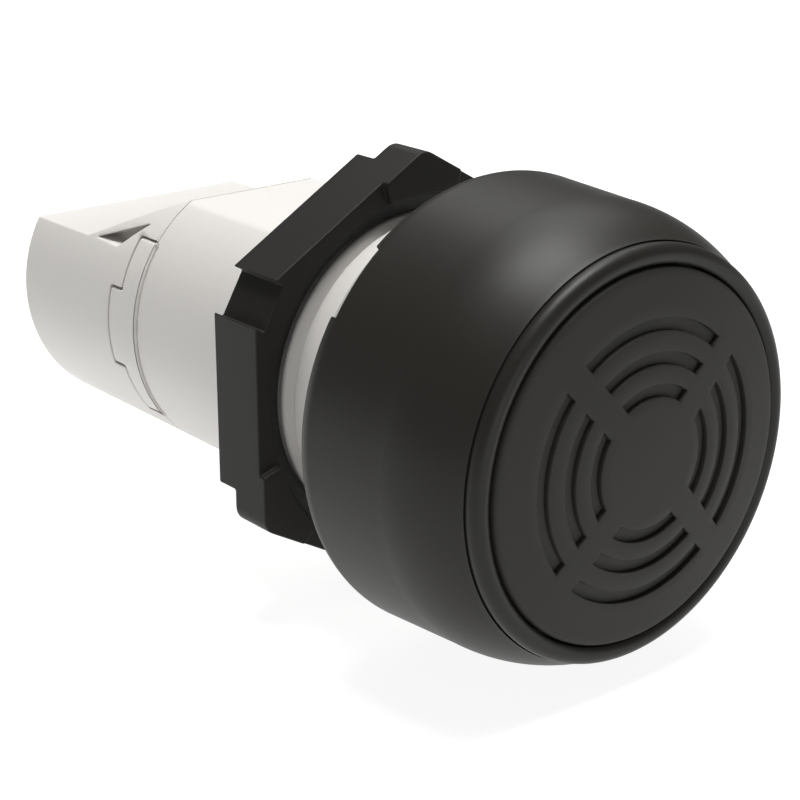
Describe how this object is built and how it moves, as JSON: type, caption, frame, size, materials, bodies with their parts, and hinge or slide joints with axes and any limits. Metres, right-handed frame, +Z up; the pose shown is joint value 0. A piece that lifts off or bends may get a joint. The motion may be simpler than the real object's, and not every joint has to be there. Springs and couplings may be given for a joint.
{
  "type": "panel mount buzzer",
  "caption": "Round-headed sounder for a panel hole, with a slotted domed grille, grey tubular body, hexagon fixing nut and screw terminals at the rear.",
  "frame": {"origin": "on the axis, at the rear face of the panel gasket, where the panel's front face sits", "axes": "-Y out of the grille, towards the operator; +Y along the body to the terminals; +Z up, through the flat on top of the body"},
  "size_m": [0.0302, 0.0561, 0.0304],
  "materials": {
    "head_black": "satin moulded, fine spark texture",
    "rim_black": "satin",
    "grille_black": "matt moulded",
    "nut_black": "satin moulded",
    "washer_black": "matt",
    "body_grey": "satin moulded",
    "gasket_grey": "matt",
    "seal_black": "matt",
    "membrane_grey": "felt",
    "chamber_black": "matt",
    "disc_brass": "rolled",
    "ceramic_silver": "silvered",
    "terminal_brass": "stamped",
    "steel_zinc": "zinc plated",
    "block_grey": "moulded",
    "board_green": "solder resist",
    "chip_black": "moulded",
    "can_silver": "drawn can",
    "ferrite": "sintered",
    "copper_wire": "enamelled",
    "lead_red": "smooth",
    "lead_black": "smooth",
    "chip_dark": "glazed"
  },
  "bodies": {
    "buzzer": {"head_shell": "head_black", "rim_ring": "rim_black", "grille_disc": "grille_black", "front_housing": "body_grey", "rear_cap": "body_grey", "terminal_block": "block_grey", "splash_membrane": "membrane_grey", "sound_chamber": "chamber_black", "piezo_plate": "disc_brass", "piezo_ceramic": "ceramic_silver", "piezo_holder": "chamber_black", "head_oring": "seal_black", "panel_gasket": "gasket_grey", "circuit_board": "board_green", "driver_chip": "chip_black", "filter_capacitor": "can_silver", "coil_core": "ferrite", "coil_winding": "copper_wire", "resistors": "chip_dark", "rectifier_diodes": "chip_dark", "lead_ceramic": "lead_red", "lead_plate": "lead_black", "terminal_left": "terminal_brass", "terminal_right": "terminal_brass"},
    "lock_washer": {"lock_washer": "washer_black"},
    "fixing_nut": {"fixing_nut": "nut_black"},
    "wire_clamp_left": {"wire_clamp_left": "steel_zinc"},
    "wire_clamp_right": {"wire_clamp_right": "steel_zinc"},
    "terminal_screw_left": {"terminal_screw_left": "steel_zinc"},
    "terminal_screw_right": {"terminal_screw_right": "steel_zinc"}
  },
  "joints": [
    {"name": "nut_travel", "type": "slide", "parent": "buzzer", "child": "lock_washer", "axis": [0, 1, 0], "range_m": [-0.003, 0.0034]},
    {"name": "nut_turn", "type": "hinge", "parent": "lock_washer", "child": "fixing_nut", "pos_m": [0, 0.0076, 0], "axis": [0, 1, 0], "range_deg": [-720, 816]},
    {"name": "left_clamp_travel", "type": "slide", "parent": "buzzer", "child": "wire_clamp_left", "axis": [0, -1, 0], "range_m": [0, 0.0019]},
    {"name": "left_screw_turn", "type": "hinge", "parent": "wire_clamp_left", "child": "terminal_screw_left", "pos_m": [-0.0047, 0.038, -0.001], "axis": [0, -1, 0], "range_deg": [0, 1368]},
    {"name": "right_clamp_travel", "type": "slide", "parent": "buzzer", "child": "wire_clamp_right", "axis": [0, -1, 0], "range_m": [0, 0.0019]},
    {"name": "right_screw_turn", "type": "hinge", "parent": "wire_clamp_right", "child": "terminal_screw_right", "pos_m": [0.0047, 0.038, -0.001], "axis": [0, -1, 0], "range_deg": [0, 1368]}
  ],
  "couplings": [
    {"joint": "nut_turn", "follows": "nut_travel", "rad_per_m": 4188.8},
    {"joint": "left_screw_turn", "follows": "left_clamp_travel", "rad_per_m": 12566},
    {"joint": "right_screw_turn", "follows": "right_clamp_travel", "rad_per_m": 12566}
  ]
}
